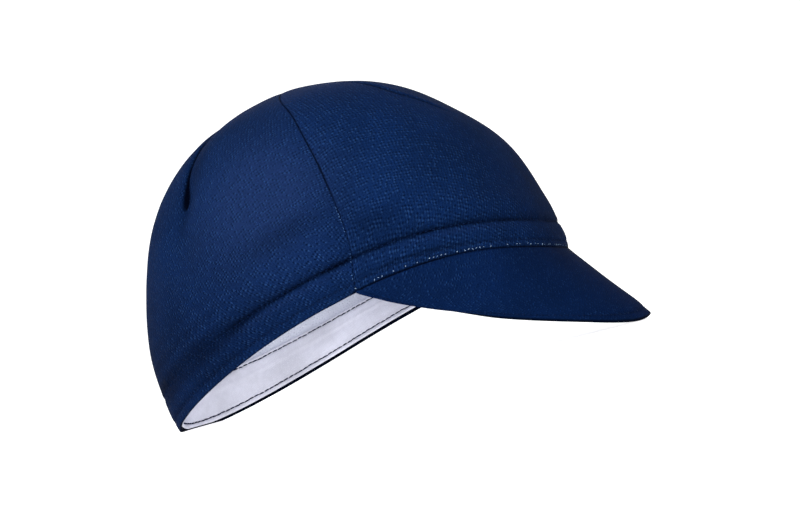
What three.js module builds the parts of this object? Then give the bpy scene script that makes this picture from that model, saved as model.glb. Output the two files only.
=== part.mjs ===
import * as THREE from 'three';
import { mergeVertices } from 'three/addons/utils/BufferGeometryUtils.js';

// Soft cloth cap with a short turned-down peak, resting on a flat surface.
// Millimetres, +Z up, the peak towards -Y, the wearer's left towards +X.
// The shape is first worked out level on its own hem, then leaned back until the
// peak's edge and the back of the hem both touch the surface.

// Head opening and crown
const hemHalfWidth = 73;
const hemFrontReach = 81;
const hemBackReach = 116;
const crownHeight = 129;
const apexSetback = 17.5;
const frontSquareness = 2.15;
const backSquareness = 1.95;

// How far the hem rises above the line from its front to its back
const hemSideRise = 22.5;
const hemFrontRise = 16;
const hemTempleRise = 4;

// Cloth
const cloth = 1.2;
const gap = 0.3;
const hemRollHeight = 1.1;
const hemRollDepth = 2.7;
const hemBevel = 2.7;
const bandHeight = 15;
const grooveDepth = 0.9;
const seamDepth = 0.7;

// Sweatband inside the hem
const sweatbandHeight = 21.5;
const sweatbandThickness = 1.3;
const sweatbandLift = 1.7;

// Peak
const peakHalfAngle = 81.5;
const peakReach = 23.5;
const peakSlope = 58.5;
const peakThickness = 2.4;
const peakFlangeHeight = 8;
const peakFlangeThickness = 1.0;
const peakCornerLength = 1.0;
const peakSquareness = 2.17;
const peakTaper = 1.8;

// Depth by which the cloth of the hem is pressed flat where it rests
const restFlat = 1.2;

// Widths of the crown as shares of the hem's, by angle up from the hem
const crownSections = [
  { angle: 0, side: 1.0, front: 1.0, back: 1.0 },
  { angle: 15, side: 1.145, front: 1.07, back: 0.995 },
  { angle: 30, side: 1.135, front: 1.155, back: 0.995 },
  { angle: 45, side: 1.195, front: 1.19, back: 1.02 },
  { angle: 60, side: 1.225, front: 1.225, back: 1.055 },
  { angle: 75, side: 1.11, front: 1.175, back: 1.16 },
  { angle: 90, side: 1.11, front: 1.175, back: 1.16 },
];

// Where the seam beside the front panel runs: angle up, and angle round from the front
const seamLine = [
  { up: 0, round: 81.5 },
  { up: 12, round: 75 },
  { up: 30, round: 74 },
  { up: 50, round: 73 },
  { up: 70, round: 74 },
  { up: 90, round: 60 },
];

// Two darts shape the back: angle up, angle round from the front, depth
const dartLine = [
  { up: 35, round: 118, depth: 0 },
  { up: 42, round: 116, depth: 2.2 },
  { up: 50, round: 117, depth: 1.0 },
  { up: 66, round: 121, depth: 0.8 },
  { up: 90, round: 140, depth: 0.6 },
];

// Soft swellings and hollows of the cloth: place, spread and height
const folds = [
  { up: 11, round: -97, spanUp: 3.2, spanRound: 34, height: 1.6 },
  { up: 11, round: -43, spanUp: 3.0, spanRound: 30, height: 1.3 },
  { up: 11, round: 60, spanUp: 3.2, spanRound: 40, height: 1.4 },
  { up: 16, round: -70, spanUp: 6, spanRound: 6, height: -1.8 },
  { up: 16, round: 70, spanUp: 6, spanRound: 6, height: -1.5 },
  { up: 20, round: -96, spanUp: 5, spanRound: 18, height: -1.2 },
  { up: 33, round: -118.5, spanUp: 8, spanRound: 7, height: -1.8 },
  { up: 33, round: 118.5, spanUp: 8, spanRound: 7, height: -1.8 },
];

const deg = Math.PI / 180;
const clamp = (x, lo, hi) => Math.min(hi, Math.max(lo, x));
const smooth = (x, lo, hi) => {
  const t = clamp((x - lo) / (hi - lo), 0, 1);
  return t * t * (3 - 2 * t);
};
const bump = (x, width) => Math.exp(-(x * x) / (width * width));
const power = (x, n) => Math.sign(x) * Math.pow(Math.abs(x), 2 / n);
const turn = (a) => Math.atan2(Math.sin(a * deg), Math.cos(a * deg)) / deg;

// Smooth curve through the rows of a table
function through(table, key, value, x) {
  const last = table.length - 1;
  const at = clamp(x, table[0][key], table[last][key]);
  let i = 0;
  while (i < last - 1 && at > table[i + 1][key]) i += 1;
  const row = (j) => table[clamp(j, 0, last)];
  const slope = (j) => {
    const run = row(j + 1)[key] - row(j - 1)[key];
    return run === 0 ? 0 : (row(j + 1)[value] - row(j - 1)[value]) / run;
  };
  const span = row(i + 1)[key] - row(i)[key];
  const t = (at - row(i)[key]) / span;
  const a = row(i)[value];
  const b = row(i + 1)[value];
  const t2 = t * t;
  const t3 = t2 * t;
  return (
    a * (2 * t3 - 3 * t2 + 1) +
    b * (3 * t2 - 2 * t3) +
    slope(i) * span * (t3 - 2 * t2 + t) +
    slope(i + 1) * span * (t3 - t2)
  );
}

// Height of the hem above the line from its front to its back
function hemRise(round) {
  const c = Math.cos(round * deg);
  const s = Math.sin(round * deg);
  const temple = (c - Math.cos(3 * round * deg)) / 1.5;
  return hemSideRise * s * s + hemFrontRise * Math.max(c, 0) ** 2 + hemTempleRise * temple;
}

// Smooth crown without relief: round is the angle from the front, up from the hem
function crownBase(round, up) {
  const c = Math.cos(round * deg);
  const s = Math.sin(round * deg);
  const cu = Math.cos(up * deg);
  const su = Math.sin(up * deg);
  const n = c > 0 ? frontSquareness : backSquareness;
  const side = through(crownSections, 'angle', 'side', up);
  const reach =
    c > 0
      ? hemFrontReach * through(crownSections, 'angle', 'front', up)
      : hemBackReach * through(crownSections, 'angle', 'back', up);
  return new THREE.Vector3(
    hemHalfWidth * side * cu * power(s, n),
    apexSetback * su - reach * cu * power(c, n),
    hemRise(round) * Math.pow(1 - su, 1.5) + crownHeight * su,
  );
}

const seamRound = (up) => through(seamLine, 'up', 'round', up);
const bandTop = Math.asin(bandHeight / crownHeight) / deg;

// Relief of the cloth, outwards positive
function relief(round, up) {
  const a = turn(round);
  const far = Math.cos(up * deg);
  let r = -grooveDepth * bump(up - bandTop, 1.1);
  r += 0.7 * Math.sin(Math.PI * clamp(up / bandTop, 0, 1));
  const seamAway = (Math.abs(a) - seamRound(up)) * far;
  r -= seamDepth * bump(seamAway, 1.6) * smooth(up, 2, 10);
  const dartAway = (Math.abs(a) - through(dartLine, 'up', 'round', up)) * far;
  const dartDepth = up < dartLine[0].up ? 0 : through(dartLine, 'up', 'depth', up);
  r -= dartDepth * bump(dartAway, 2.2);
  for (const f of folds) {
    r += f.height * bump(up - f.up, f.spanUp) * bump(turn(a - f.round), f.spanRound);
  }
  return r * smooth(90 - up, 0.5, 6);
}

function crownNormal(round, up) {
  const u = Math.min(up, 89);
  const h = 0.05;
  const along = crownBase(round + h, u).sub(crownBase(round - h, u));
  const rise = crownBase(round, u + h).sub(crownBase(round, u - h));
  return along.cross(rise).normalize();
}

// Point of the crown's cloth at a depth inside its outer face
function crownPoint(round, up, depth) {
  const shift = relief(round, up) - depth;
  return crownBase(round, up).addScaledVector(crownNormal(round, up), shift);
}

// Angle up whose point lies a given height above the hem
const upAt = (height) => Math.asin(clamp(height / crownHeight, -1, 1)) / deg;

// A closed sheet: a box of columns, rows and two faces, carried on to a surface.
// A sheet that goes all the way round has no end walls.
function sheet(name, columns, rows, place, color, roughness, allRound = false) {
  const box = new THREE.BoxGeometry(1, 1, 1, columns, rows, 1);
  const endWalls = box.groups[0].count + box.groups[1].count;
  if (allRound) box.setIndex([...box.index.array.slice(endWalls)]);
  box.deleteAttribute('normal');
  box.deleteAttribute('uv');
  const p = box.attributes.position;
  for (let i = 0; i < p.count; i += 1) {
    const column = Math.round((p.getX(i) + 0.5) * columns);
    const row = Math.round((p.getY(i) + 0.5) * rows);
    const face = p.getZ(i) > 0 ? 1 : 0;
    const q = place(column, row, face);
    p.setXYZ(i, q.x, q.y, q.z);
  }
  const merged = mergeVertices(box, 1e-4);
  const index = merged.index.array;
  const kept = [];
  for (let i = 0; i < index.length; i += 3) {
    const [a, b, c] = [index[i], index[i + 1], index[i + 2]];
    if (a !== b && b !== c && c !== a) kept.push(a, b, c);
  }
  merged.setIndex(kept);
  merged.computeVertexNormals();
  const material = new THREE.MeshStandardMaterial({ color, roughness, metalness: 0 });
  const mesh = new THREE.Mesh(merged, material);
  mesh.name = name;
  return mesh;
}

const navy = 0x13274e;
const lightCloth = 0xd0cfdd;

// Rows of the crown: angle up from the hem
const sweatbandTop = upAt(sweatbandLift + sweatbandHeight);
const crownRows = [bandTop * 0.45, bandTop - 1.5, bandTop, bandTop + 1.5, sweatbandTop];
for (let up = sweatbandTop + 3.2; up < 80; up += 5.6) crownRows.push(up);

// Columns round the crown: first the front panel's, then the back panel's
const frontColumns = 34;
const backColumns = 58;
const allColumns = frontColumns + backColumns;
function frontRound(column, edge) {
  const t = (2 * column) / frontColumns - 1;
  return edge * Math.sign(t) * (1 - Math.pow(1 - Math.abs(t), 1.12));
}
const backRound = (column, edge) => edge + (column / backColumns) * (360 - 2 * edge);
function halfGap(up) {
  const ring = Math.max(crownBase(90, up).x, 0.4);
  return Math.min(gap / 2 / ring / deg, 20);
}

// Front panel: temple to temple, narrowing to the top of the crown
const frontRows = [0, ...crownRows, 82, 86.5, 88.8];
const frontPanel = sheet(
  'front_panel',
  frontColumns,
  frontRows.length - 1,
  (column, row, face) => {
    const up = row === 0 && !face ? upAt(hemBevel) : frontRows[row];
    const round = frontRound(column, seamRound(up) - halfGap(up));
    return crownPoint(round, up, face ? 0 : cloth);
  },
  navy,
  0.9,
);

// Back panel: wraps both sides and the back; its hem is rolled inwards under the band
const rollUp = upAt(hemRollHeight);
const backRows = [0, rollUp, rollUp + 0.12, ...crownRows, 82, 86.5, 90];
const backPanel = sheet(
  'back_panel',
  backColumns,
  backRows.length - 1,
  (column, row, face) => {
    const up = backRows[row];
    const round = backRound(column, seamRound(up) + halfGap(up));
    const inner = row < 2 ? hemRollDepth : cloth;
    return crownPoint(round, up, face ? 0 : inner);
  },
  navy,
  0.9,
);

// Sweatband: a closed ring just inside the hem, set in deeper where the peak is sewn
const bandRows = [upAt(sweatbandLift), ...crownRows.slice(0, 5)];
function bandDepth(round) {
  const away = Math.abs(turn(round));
  const behindPeak = peakFlangeThickness + gap;
  return cloth + gap + behindPeak * (1 - smooth(away, peakHalfAngle + 2, peakHalfAngle + 14));
}
const sweatband = sheet(
  'sweatband',
  allColumns,
  bandRows.length - 1,
  (column, row, face) => {
    const up = bandRows[row];
    const edge = seamRound(up);
    const place = column % allColumns;
    const inFront = place <= frontColumns;
    const round = inFront ? frontRound(place, edge) : backRound(place - frontColumns, edge);
    const depth = bandDepth(round) + (face ? 0 : sweatbandThickness);
    return crownPoint(round, up, depth);
  },
  lightCloth,
  0.95,
  true,
);

// Peak: a curved board with a flange sewn behind the front panel's hem
const frontHem = crownBase(0, 0);
const cornerHem = crownBase(peakHalfAngle, 0);
const slope = Math.tan(peakSlope * deg);
const drop = slope * (cornerHem.y - frontHem.y) - (cornerHem.z - frontHem.z);
const curl = drop / cornerHem.x ** 2;
const boardHeight = (x, y) => frontHem.z - slope * (frontHem.y - y) - curl * x * x;

function boardPoint(t, r) {
  const inner = crownBase(t * peakHalfAngle, 0);
  const tau = t * 90 * 0.999 * deg;
  const taper = Math.pow(Math.cos(tau), peakTaper);
  const ox = cornerHem.x * power(Math.sin(tau), peakSquareness);
  const oy = cornerHem.y + (frontHem.y - peakReach - cornerHem.y) * taper;
  const x = inner.x * (1 - r) + ox * r;
  const y = inner.y * (1 - r) + oy * r;
  const rest = inner.z - boardHeight(inner.x, inner.y);
  const q = new THREE.Vector3(x, y, boardHeight(x, y) + rest * (1 - r) ** 2);
  const corner = smooth(Math.abs(t), 0.86, 1);
  q.z -= peakCornerLength * r * corner;
  return q;
}

function boardNormal(t, r) {
  const h = 0.004;
  const tt = clamp(t, -0.985, 0.985);
  const rr = clamp(r, h, 1 - h);
  const along = boardPoint(tt + h, rr).sub(boardPoint(tt - h, rr));
  const out = boardPoint(tt, rr + h).sub(boardPoint(tt, rr - h));
  return out.cross(along).normalize();
}

const boardRows = [0, 0.12, 0.35, 0.6, 0.82, 1];
const peak = sheet(
  'peak',
  frontColumns,
  boardRows.length + 1,
  (column, row, face) => {
    const t = frontRound(column, 1);
    if (row > boardRows.length - 1) {
      const depth = cloth + gap + (face ? 0 : peakFlangeThickness);
      const high = row === boardRows.length ? 2.2 : peakFlangeHeight;
      const up = upAt(high);
      return crownPoint(t * (seamRound(up) - 0.6), up, depth);
    }
    const r = boardRows[boardRows.length - 1 - row];
    const q = boardPoint(t, r);
    const under = face ? gap : gap + peakThickness;
    return q.addScaledVector(boardNormal(t, r), -under);
  },
  navy,
  0.85,
);

// Lean the cap back until the peak's edge and the back of the hem are equally low
const meshes = [frontPanel, backPanel, sweatband, peak];
function lowest(lean, front) {
  let low = Infinity;
  for (const mesh of meshes) {
    const p = mesh.geometry.attributes.position;
    for (let i = 0; i < p.count; i += 1) {
      if (p.getY(i) < 0 !== front) continue;
      const z = p.getZ(i) * Math.cos(lean) - p.getY(i) * Math.sin(lean);
      low = Math.min(low, z);
    }
  }
  return low;
}
let [least, most] = [0, 30 * deg];
for (let i = 0; i < 50; i += 1) {
  const lean = (least + most) / 2;
  if (lowest(lean, true) < lowest(lean, false) + restFlat) least = lean;
  else most = lean;
}
const lean = (least + most) / 2;
const floor = lowest(lean, true);

// Press the hem's cloth flat where it rests and set the whole cap on the surface
const bounds = new THREE.Box3();
for (const mesh of meshes) {
  const p = mesh.geometry.attributes.position;
  mesh.geometry.rotateX(-lean);
  for (let i = 0; i < p.count; i += 1) {
    const soft = mesh !== peak && mesh !== frontPanel;
    const z = p.getZ(i) - floor;
    p.setZ(i, soft ? Math.max(z, 0) : z);
  }
  mesh.geometry.computeBoundingBox();
  bounds.union(mesh.geometry.boundingBox);
}
const middle = bounds.getCenter(new THREE.Vector3());
const group = new THREE.Group();
group.name = 'cap';
for (const mesh of meshes) {
  mesh.geometry.translate(-middle.x, -middle.y, -bounds.min.z);
  mesh.geometry.computeVertexNormals();
  group.add(mesh);
}

export default group;
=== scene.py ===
import math
import bpy
import numpy as np
from mathutils import Matrix, Vector


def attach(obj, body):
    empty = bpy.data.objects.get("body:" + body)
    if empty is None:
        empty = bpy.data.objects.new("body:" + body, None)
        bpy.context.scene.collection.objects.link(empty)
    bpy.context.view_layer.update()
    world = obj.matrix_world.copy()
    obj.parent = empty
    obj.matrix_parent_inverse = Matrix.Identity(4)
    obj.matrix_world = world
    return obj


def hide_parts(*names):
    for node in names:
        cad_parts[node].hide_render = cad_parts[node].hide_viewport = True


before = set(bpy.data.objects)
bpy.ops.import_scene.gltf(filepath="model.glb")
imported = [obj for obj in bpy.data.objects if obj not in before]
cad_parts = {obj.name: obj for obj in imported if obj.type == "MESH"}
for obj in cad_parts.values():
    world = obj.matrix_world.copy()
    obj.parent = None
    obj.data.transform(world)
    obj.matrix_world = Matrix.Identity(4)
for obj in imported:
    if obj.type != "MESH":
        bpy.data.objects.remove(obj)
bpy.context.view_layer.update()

deg = math.pi / 180
MM = 0.001

# Sizes shared with the solid model, in millimetres and degrees
HEM_HALF_WIDTH = 73
HEM_FRONT_REACH = 81
HEM_BACK_REACH = 116
CROWN_HEIGHT = 129
APEX_SETBACK = 17.5
FRONT_SQUARENESS = 2.15
BACK_SQUARENESS = 1.95
HEM_SIDE_RISE = 22.5
HEM_FRONT_RISE = 16
HEM_TEMPLE_RISE = 4
BAND_HEIGHT = 15
BAND_FULLNESS = 0.7
GROOVE_DEPTH = 0.9
GROOVE_SPREAD = 1.1
SEAM_DEPTH = 0.7
SEAM_SPREAD = 1.6
DART_SPREAD = 2.2
PEAK_HALF_ANGLE = 81.5
PEAK_REACH = 23.5
PEAK_SLOPE = 58.5
PEAK_THICKNESS = 2.4
PEAK_CORNER = 1.0
PEAK_SQUARENESS = 2.17
PEAK_TAPER = 1.8
SWEATBAND_TOP = 22.6

# How the level shape leans back and where it stands
LEAN = 6.5798 * deg
FLOOR = -12.0921
MIDDLE = (-0.114, 6.4516)

# The crown is drawn by an angle round, 0 at the front and negative on the near side,
# and an angle up, 0 at the hem and 90 at the top
CROWN_SECTIONS = np.array([
    # angle up, side, front, back
    (0, 1.0, 1.0, 1.0),
    (15, 1.145, 1.07, 0.995),
    (30, 1.135, 1.155, 0.995),
    (45, 1.195, 1.19, 1.02),
    (60, 1.225, 1.225, 1.055),
    (75, 1.11, 1.175, 1.16),
    (90, 1.11, 1.175, 1.16),
])
SEAM_LINE = np.array([
    # angle up, round
    (0, 81.5),
    (12, 75),
    (30, 74),
    (50, 73),
    (70, 74),
    (90, 60),
], float)
DART_LINE = np.array([
    # angle up, round, depth
    (35, 118, 0),
    (42, 116, 2.2),
    (50, 117, 1.0),
    (66, 121, 0.8),
    (90, 140, 0.6),
])
TOP_CREASE = np.array([
    # angle up, round
    (34, -14),
    (40, -18),
    (45, -22),
    (49, -27),
    (55, -30),
    (62, -32),
    (70, -34),
], float)
FOLDS = [
    # angle up, round, spread up, spread round, height
    (11, -97, 3.2, 34, 1.6),
    (11, -43, 3.0, 30, 1.3),
    (11, 60, 3.2, 40, 1.4),
    (16, -70, 6, 6, -1.8),
    (16, 70, 6, 6, -1.5),
    (20, -96, 5, 18, -1.2),
    (33, -118.5, 8, 7, -1.8),
    (33, 118.5, 8, 7, -1.8),
]

# Where the relief starts and ends: angles up between which it grows or fades
SEAM_GROWS = (2, 10)
SEAM_FLATTENS = (30, 50)
TOP_FADES = (0.5, 6)
DART_OPENS = (39.0, 41.5)
CREASE_GROWS = (36, 45)
CREASE_FADES = (0, 14)
CREASE_TOP = 70

# Where the groove is soft and its painted shade is lighter: angles round between which they fade
SOFT_AT_BACK = (98, 126)
PALE_AT_BACK = (97, 118)
SOFT_AT_FRONT = (8, 42)

# Angles up of the hem's stitches, and round of the dart's open line beside the dart
HEM_LINE_UP = 1.75
DART_SHIFT = 2.0

# Scales of the fine folds, in millimetres
CROWN_RADIUS = 95
TOP_RADIUS = 85
MM_PER_DEGREE_UP = 2.25
STITCH_PULL = 3.1
BROAD_WAVES = (48, 61, 77, 39)
SHORT_WAVES = (17, 13, 21, 15, 11)
PUCKER_WAVES = (6.1, 8.3, 11.0)
GROOVE_PROFILE = [
    # millimetres above the groove, spread, height
    (0, 0.5, -0.55),
    (1.7, 1.1, 0.22),
    (-1.8, 1.3, 0.25),
]
# Soft shadows painted into the cloth's colour
SHADOWS = [
    # angle up, round on both sides, spread up, spread round, darkness of the painted shadow
    (3.5, 112, 3.5, 24, 0.16),
    (19, 87, 3.2, 13, 0.32),
    (12.5, 68, 3.6, 9, 0.38),
    (14, 150, 17, 38, 0.26),
]


def through(xs, ys, x):
    """Smooth curve through the rows of a table."""
    xs = np.asarray(xs, float)
    ys = np.asarray(ys, float)
    x = np.clip(np.asarray(x, float), xs[0], xs[-1])
    i = np.clip(np.searchsorted(xs, x, side="left") - 1, 0, len(xs) - 2)
    lo = np.clip(np.arange(len(xs)) - 1, 0, len(xs) - 1)
    hi = np.clip(np.arange(len(xs)) + 1, 0, len(xs) - 1)
    m = (ys[hi] - ys[lo]) / (xs[hi] - xs[lo])
    span = xs[i + 1] - xs[i]
    t = (x - xs[i]) / span
    t2 = t * t
    t3 = t * t * t
    return (ys[i] * (2 * t3 - 3 * t2 + 1) + ys[i + 1] * (3 * t2 - 2 * t3)
            + m[i] * span * (t3 - 2 * t2 + t) + m[i + 1] * span * (t3 - t2))


def power(x, n):
    return np.sign(x) * np.abs(x) ** (2 / n)


def smooth(x, lo, hi):
    """From 0 at lo to 1 at hi, with soft ends."""
    t = np.clip((x - lo) / (hi - lo), 0, 1)
    return t * t * (3 - 2 * t)


def bump(x, width):
    """A soft bump of height 1."""
    return np.exp(-(x / width) ** 2)


def unit(vectors):
    return vectors / np.linalg.norm(vectors, axis=-1, keepdims=True)


def turn(a):
    """An angle round, from -180 to 180."""
    return (a + 180.0) % 360.0 - 180.0


def seam_round(up):
    return through(SEAM_LINE[:, 0], SEAM_LINE[:, 1], up)


def dart_round(up):
    return through(DART_LINE[:, 0], DART_LINE[:, 1], up)


def up_at(height):
    """The angle up of a height in mm above the hem."""
    return math.asin(height / CROWN_HEIGHT) / deg


BAND_TOP = up_at(BAND_HEIGHT)


# Crown

def crown_base(rnd, up):
    """Point of the crown without relief."""
    rnd, up = np.broadcast_arrays(np.asarray(rnd, float), np.asarray(up, float))
    c = np.cos(rnd * deg)
    s = np.sin(rnd * deg)
    cu = np.cos(up * deg)
    su = np.sin(up * deg)
    n = np.where(c > 0, FRONT_SQUARENESS, BACK_SQUARENESS)
    t = CROWN_SECTIONS
    side = through(t[:, 0], t[:, 1], up)
    reach = np.where(c > 0, HEM_FRONT_REACH * through(t[:, 0], t[:, 2], up),
                     HEM_BACK_REACH * through(t[:, 0], t[:, 3], up))
    rise = (HEM_SIDE_RISE * s * s + HEM_FRONT_RISE * np.maximum(c, 0) ** 2
            + HEM_TEMPLE_RISE * (c - np.cos(3 * rnd * deg)) / 1.5)
    return np.stack([HEM_HALF_WIDTH * side * cu * power(s, n),
                     APEX_SETBACK * su - reach * cu * power(c, n),
                     rise * np.maximum(1 - su, 0) ** 1.5 + CROWN_HEIGHT * su], -1)


def crown_normal(rnd, up):
    h = 0.05
    u = np.minimum(up, 89)
    along = crown_base(rnd + h, u) - crown_base(rnd - h, u)
    rise = crown_base(rnd, u + h) - crown_base(rnd, u - h)
    return unit(np.cross(along, rise))


def groove_dip(up):
    return bump(up - BAND_TOP, GROOVE_SPREAD)


def band_swell(up):
    return np.sin(math.pi * np.clip(up / BAND_TOP, 0, 1))


def seam_dip(a, up):
    return bump((np.abs(a) - seam_round(up)) * np.cos(up * deg), SEAM_SPREAD)


def relief(rnd, up):
    """The solid model's own soft relief, outwards positive."""
    a = turn(rnd)
    depth = np.where(up < DART_LINE[0, 0], 0, through(DART_LINE[:, 0], DART_LINE[:, 2], up))
    r = BAND_FULLNESS * band_swell(up) - GROOVE_DEPTH * groove_dip(up)
    r = r - SEAM_DEPTH * seam_dip(a, up) * smooth(up, *SEAM_GROWS)
    r = r - depth * bump((np.abs(a) - dart_round(up)) * np.cos(up * deg), DART_SPREAD)
    for fold_up, fold_round, spread_up, spread_round, height in FOLDS:
        r = r + height * bump(up - fold_up, spread_up) * bump(turn(a - fold_round), spread_round)
    return r * smooth(90 - up, *TOP_FADES)


def ripple(p, waves, seed):
    """Uneven cloth: a sum of plane waves through the points p, about -1 to 1."""
    rng = np.random.default_rng(seed)
    total = 0
    for length in waves:
        d = unit(rng.normal(size=3))
        total = total + np.sin(p @ d * (2 * math.pi / length) + rng.uniform(0, 6.28))
    return total / len(waves)


def mm_round(angle, up, radius=CROWN_RADIUS):
    """Length along the cloth of an angle round."""
    return angle * deg * radius * np.cos(up * deg)


def dart_side(a, up):
    """Distance in mm from the open line of the dart."""
    return mm_round(np.abs(a) - dart_round(up) - DART_SHIFT, up)


def crease_side(a, up):
    """Distance in mm from the soft fold near the top of the front panel."""
    return mm_round(a - through(TOP_CREASE[:, 0], TOP_CREASE[:, 1], up), up, TOP_RADIUS)


def crease_ends(up):
    return smooth(up, *CREASE_GROWS) * smooth(CREASE_TOP - up, *CREASE_FADES)


def fine_relief(rnd, up, p):
    """Small folds, puckers and stitch pulls that only the cloth shows."""
    a = turn(rnd)
    away = np.abs(a)
    side = mm_round(away, up)
    above = (up - BAND_TOP) * MM_PER_DEGREE_UP
    hem = (up - HEM_LINE_UP) * MM_PER_DEGREE_UP
    slit = dart_side(a, up)
    top = crease_side(a, up)
    behind = smooth(away, *SOFT_AT_BACK)
    ahead = 1 - smooth(away, *SOFT_AT_FRONT)
    pull = np.sin(side * 2 * math.pi / STITCH_PULL + 0.6 * np.sin(side * 0.31))
    cloth_place = np.stack([side, up * 0.4, 0 * up], -1)

    uneven = 0.30 * ripple(p, BROAD_WAVES, seed=3) + 0.10 * ripple(p, SHORT_WAVES, seed=8)
    groove = sum(height * bump(above - middle, width) for middle, width, height in GROOVE_PROFILE)
    puckers = 0.10 * pull * bump(above, 1.6)
    puckers = puckers + 0.22 * ripple(cloth_place, PUCKER_WAVES, seed=5) * bump(above - 2.2, 3.0)
    soft_back = behind * (0.55 * GROOVE_DEPTH * groove_dip(up) + 0.40 * bump(above, 0.5))
    soft_back = soft_back - behind * 0.35 * band_swell(up)
    soft_front = ahead * (0.45 * GROOVE_DEPTH * groove_dip(up) + 0.30 * bump(above, 0.5))
    hem_line = 0.10 * pull * bump(hem, 1.0) - 0.45 * bump(hem, 0.7)
    flat_seam = 0.75 * SEAM_DEPTH * seam_dip(a, up) * smooth(up, *SEAM_FLATTENS)
    open_dart = -1.3 * bump(slit, 0.8) * smooth(up, *DART_OPENS) * smooth(80 - up, 0, 25)
    dart_puff = 0.55 * bump(slit + 3.0, 2.4) * bump(up - 44, 7) * np.where(a < 0, 1, 0.7)
    top_crease = (0.35 * bump(top - 2.6, 2.2) - 0.60 * bump(top, 1.0)) * crease_ends(up)

    r = uneven + groove + puckers + soft_back + soft_front + hem_line
    r = r + flat_seam + open_dart + dart_puff + top_crease
    return r * smooth(90 - up, *TOP_FADES)


def crease_shade(rnd, up):
    """Painted shade: how much darker the cloth is painted in its groove, folds, seams, dart and hem line,
    above the peak and in soft shadows, from 0 to 1.
    """
    a = turn(rnd)
    away = np.abs(a)
    side = mm_round(away, up)
    above = (up - BAND_TOP) * MM_PER_DEGREE_UP
    hem = (up - HEM_LINE_UP) * MM_PER_DEGREE_UP
    slit = dart_side(a, up)
    behind = smooth(away, *PALE_AT_BACK)
    ahead = 1 - smooth(away, *SOFT_AT_FRONT)
    uneven = 0.75 + 0.25 * np.sin(side * 0.21 + 1.3) * np.sin(side * 0.083)

    swell = 1 + 0.5 * bump(away - 82, 5) + 0.35 * bump(away - 108, 9)
    depth = 0.75 - 0.50 * behind - 0.40 * ahead
    groove = depth * uneven * bump(above + 0.2, 0.75 * swell + 2.2 * behind)
    over_groove = (0.30 - 0.12 * behind) * bump(above - 1.0, 2.6)
    ridges = 0.26 * behind * np.sin((up - 2.0) * 0.98 + 0.012 * away) ** 2 * bump(up - 8, 7)
    hem_line = 0.25 * uneven * bump(hem, 0.6)
    slanting = (up - 2.6) * MM_PER_DEGREE_UP - 0.04 * (away - 62)
    fold_by_peak = 0.55 * bump(slanting, 0.9) * bump(away - 62, 15)
    open_end = smooth(up, 39.5, 40.8) * smooth(82 - up, 0, 22)
    dart = 1.5 * bump(slit, 0.75 + 0.7 * bump(up - 43, 4.5)) * open_end
    by_dart = 0.35 * bump(slit + 0.5, 3.4) * bump(up - 38, 5)
    by_dart = by_dart + 0.28 * bump(slit + 5, 4.5) * bump(up - 50, 8)
    seam = 0.45 * bump(mm_round(away - seam_round(up), up), 0.5) * smooth(up, 16, 32)
    back_top = 0.16 * bump(away - 132, 30) * smooth(up, 45, 65)
    hem_over_peak = 0.90 * smooth(0.36 - up, 0, 0.2) * smooth(PEAK_HALF_ANGLE - away, -3, 0)
    top = 0.80 * bump(crease_side(a, up), 0.95) * crease_ends(up)

    shade = groove + over_groove + ridges + hem_line + fold_by_peak + dart + by_dart
    shade = shade + seam + back_top + hem_over_peak + top
    for dark_up, dark_round, spread_up, spread_round, darkness in SHADOWS:
        shade = shade + darkness * bump(up - dark_up, spread_up) * bump(away - dark_round, spread_round)
    return np.clip(shade, 0, 1)


def lit_patch(rnd, up):
    """Painted light: how much paler the cloth is painted where light falls on the sides, as sheen near the
    top and along the band below the groove, from 0 to 1.
    """
    a = turn(rnd)
    away = np.abs(a)
    above = (up - BAND_TOP) * MM_PER_DEGREE_UP
    side = 1.25 * bump(up - 31, 16) * bump(away - 92, 19)
    top = 0.85 * smooth(up, 42, 68) * bump(away - 36, 42)
    band = 0.35 * bump(above + 3.0, 1.6) * (0.6 + 0.4 * np.sin(a * 0.11))
    return np.clip(side + top + band, 0, 1)


def floats(*values):
    return np.broadcast_arrays(*[np.asarray(value, float) for value in values])


def crown_point(rnd, up, depth=0.0, fine=1.0):
    """Point of the crown at a depth inside its outer face."""
    rnd, up, depth = floats(rnd, up, depth)
    base = crown_base(rnd, up)
    shift = relief(rnd, up) + fine * fine_relief(rnd, up, base) - depth
    return base + crown_normal(rnd, up) * shift[..., None]


def turned(directions):
    """Directions of the level shape as they stand."""
    c = math.cos(LEAN)
    s = math.sin(LEAN)
    x, y, z = directions[..., 0], directions[..., 1], directions[..., 2]
    return np.stack([x, y * c + z * s, z * c - y * s], -1)


def placed(points):
    """Points of the level shape as they stand, in millimetres."""
    return turned(points) - np.array([*MIDDLE, FLOOR])


def stand(points):
    """Points of the level shape as they stand, in metres."""
    return placed(points) * MM


def flat_uv(rnd, up, middle_round, middle_up):
    """Cloth coordinates in mm, spread out evenly from the middle of a panel."""
    centre = np.array([0, -10, 20.0])
    middle = crown_base(middle_round, middle_up) - centre
    middle_reach = np.linalg.norm(middle)
    out = middle / middle_reach
    side = unit(np.cross([0, 0, 1.0], out))
    top = np.cross(out, side)
    d = crown_base(rnd, up) - centre
    reach = np.linalg.norm(d, axis=-1)
    d = d / reach[..., None]
    away = np.arccos(np.clip(d @ out, -1, 1)) * (reach + middle_reach) / 2
    spin = np.arctan2(d @ top, d @ side)
    return np.stack([away * np.cos(spin), away * np.sin(spin)], -1)


# Meshes

def add_object(name, data):
    item = bpy.data.objects.new(name, data)
    bpy.context.scene.collection.objects.link(item)
    return item


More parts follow.
